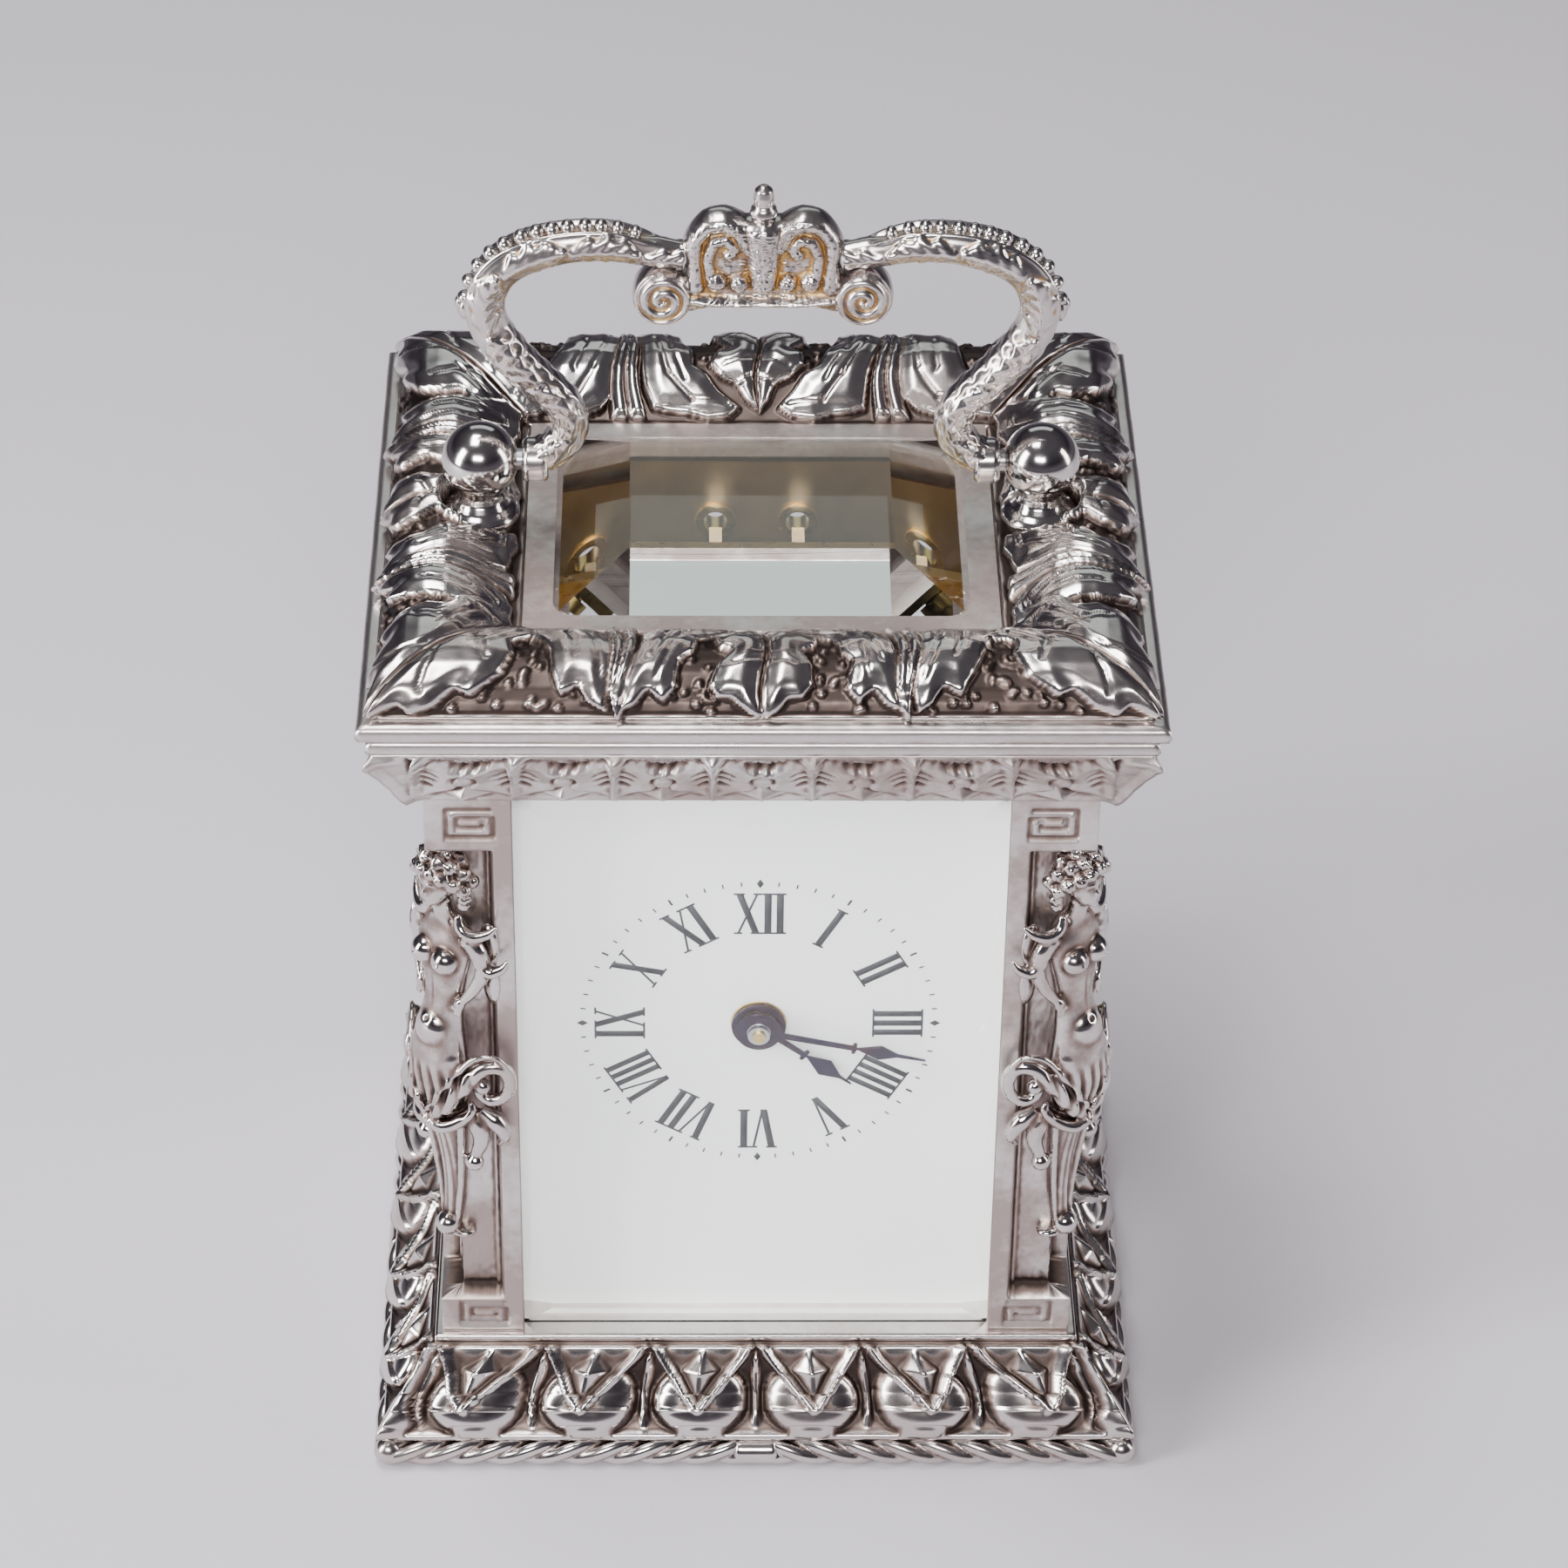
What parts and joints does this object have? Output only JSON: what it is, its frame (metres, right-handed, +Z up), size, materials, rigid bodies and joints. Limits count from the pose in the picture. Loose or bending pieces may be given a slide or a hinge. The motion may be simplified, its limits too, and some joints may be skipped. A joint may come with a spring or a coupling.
{
  "type": "carriage clock",
  "caption": "Miniature silver carriage clock with corner figures, bevelled glasses, a white dial, a rear door and a folding carrying handle",
  "frame": {"origin": "bottom centre of the base", "axes": "+Z up, the dial faces -Y, +X to the right seen from the front"},
  "size_m": [0.0612, 0.0536, 0.1029],
  "materials": {
    "silver_body": "cast antique silver, polished on the high points, tarnished in the recesses",
    "brass_parts": "fine grained gilt brass",
    "steel_parts": "fine grained steel",
    "tempered_hands": "purple brown tempered steel",
    "clear_glass": "clear bevelled glass with a faint green edge",
    "white_enamel": "glossy white enamel dial with painted numerals",
    "tempered_spring": "blue tempered steel"
  },
  "bodies": {
    "case": {"base_plate": "silver_body", "base_moulding": "silver_body", "rope_border": "silver_body", "base_screws": "steel_parts", "pillar_front_left": "silver_body", "pillar_front_right": "silver_body", "pillar_rear_left": "silver_body", "pillar_rear_right": "silver_body", "caryatid_front_left": "silver_body", "caryatid_front_right": "silver_body", "caryatid_rear_left": "silver_body", "caryatid_rear_right": "silver_body", "frieze_moulding": "silver_body", "lid_moulding": "silver_body", "lid_band": "silver_body", "top_glass_frame": "silver_body", "top_glass": "clear_glass", "front_glass": "clear_glass", "side_glass_left": "clear_glass", "side_glass_right": "clear_glass", "handle_posts": "silver_body", "handle_pins": "steel_parts", "post_nuts": "steel_parts", "door_hinge_pins": "steel_parts", "dial_plate": "white_enamel", "click_spring": "steel_parts", "balance_cock": "brass_parts", "movement_front_plate": "brass_parts", "movement_back_plate": "brass_parts", "movement_pillars": "brass_parts", "movement_seat": "brass_parts"},
    "handle": {"handle_bail": "silver_body"},
    "door": {"door_panel": "silver_body", "door_knob": "brass_parts", "keyhole_collars": "brass_parts"},
    "minute_hand_group": {"minute_hand": "tempered_hands", "hand_nut": "steel_parts", "cannon_pinion": "steel_parts"},
    "hour_hand_group": {"hour_hand": "tempered_hands", "hour_wheel": "brass_parts"},
    "minute_wheel_group": {"minute_wheel": "brass_parts"},
    "setting_group": {"setting_arbor": "steel_parts"},
    "winding_group": {"winding_arbor": "steel_parts"},
    "barrel_arbor_group": {"winding_wheel": "steel_parts"},
    "click_group": {"click": "steel_parts"},
    "barrel_group": {"barrel": "brass_parts"},
    "centre_group": {"centre_arbor": "brass_parts"},
    "third_group": {"third_arbor": "brass_parts"},
    "fourth_group": {"fourth_arbor": "brass_parts"},
    "escape_group": {"escape_wheel": "brass_parts"},
    "lever_group": {"pallet_lever": "steel_parts"},
    "balance_group": {"balance_wheel": "brass_parts", "hairspring": "tempered_spring"}
  },
  "joints": [
    {"name": "handle_fold", "type": "hinge", "parent": "case", "child": "handle", "pos_m": [0, 0, 0.07915], "axis": [1, 0, 0], "range_deg": [-90, 90]},
    {"name": "door_swing", "type": "hinge", "parent": "case", "child": "door", "pos_m": [-0.0173, 0.0202, 0.0367], "axis": [0, 0, 1], "range_deg": [0, 95]},
    {"name": "minute_hand_turn", "type": "hinge", "parent": "case", "child": "minute_hand_group", "pos_m": [0, 0, 0.0392], "axis": [0, 1, 0], "continuous": true},
    {"name": "hour_hand_turn", "type": "hinge", "parent": "case", "child": "hour_hand_group", "pos_m": [0, 0, 0.0392], "axis": [0, 1, 0], "continuous": true},
    {"name": "minute_wheel_turn", "type": "hinge", "parent": "case", "child": "minute_wheel_group", "pos_m": [0.00202, 0, 0.04614], "axis": [0, 1, 0], "continuous": true},
    {"name": "setting_arbor_turn", "type": "hinge", "parent": "case", "child": "setting_group", "pos_m": [0.0033, 0, 0.0575], "axis": [0, 1, 0], "continuous": true},
    {"name": "winding_wheel_turn", "type": "hinge", "parent": "case", "child": "barrel_arbor_group", "pos_m": [-0.00753, 0, 0.04656], "axis": [0, 1, 0], "continuous": true},
    {"name": "winding_arbor_turn", "type": "hinge", "parent": "case", "child": "winding_group", "pos_m": [-0.0033, 0, 0.0575], "axis": [0, 1, 0], "continuous": true},
    {"name": "click_lift", "type": "hinge", "parent": "case", "child": "click_group", "pos_m": [0.00443, 0, 0.04098], "axis": [0, 1, 0], "range_deg": [-14, 0]},
    {"name": "third_arbor_turn", "type": "hinge", "parent": "case", "child": "third_group", "pos_m": [0.00961, 0, 0.0357], "axis": [0, 1, 0], "continuous": true},
    {"name": "centre_arbor_turn", "type": "hinge", "parent": "case", "child": "centre_group", "pos_m": [0, 0, 0.0392], "axis": [0, 1, 0], "continuous": true},
    {"name": "barrel_turn", "type": "hinge", "parent": "case", "child": "barrel_group", "pos_m": [-0.00753, 0, 0.04656], "axis": [0, 1, 0], "continuous": true},
    {"name": "fourth_arbor_turn", "type": "hinge", "parent": "case", "child": "fourth_group", "pos_m": [0.00464, 0, 0.0286], "axis": [0, 1, 0], "continuous": true},
    {"name": "escape_wheel_turn", "type": "hinge", "parent": "case", "child": "escape_group", "pos_m": [-0.00287, 0, 0.0286], "axis": [0, 1, 0], "continuous": true},
    {"name": "lever_rock", "type": "hinge", "parent": "case", "child": "lever_group", "pos_m": [-0.00719, 0, 0.02703], "axis": [0, 1, 0], "range_deg": [-2, 2]},
    {"name": "balance_swing", "type": "hinge", "parent": "case", "child": "balance_group", "pos_m": [-0.00973, 0, 0.0261], "axis": [0, 1, 0], "range_deg": [-135, 135]}
  ],
  "couplings": [
    {"joint": "hour_hand_turn", "follows": "minute_hand_turn", "ratio": 0.083333},
    {"joint": "minute_wheel_turn", "follows": "minute_hand_turn", "ratio": -0.33333},
    {"joint": "setting_arbor_turn", "follows": "minute_hand_turn", "ratio": 0.3},
    {"joint": "winding_arbor_turn", "follows": "winding_wheel_turn", "ratio": -5.5},
    {"joint": "centre_arbor_turn", "follows": "third_arbor_turn", "ratio": -0.13333},
    {"joint": "barrel_turn", "follows": "third_arbor_turn", "ratio": 0.022222},
    {"joint": "fourth_arbor_turn", "follows": "third_arbor_turn", "ratio": -7},
    {"joint": "escape_wheel_turn", "follows": "third_arbor_turn", "ratio": 52.5}
  ]
}
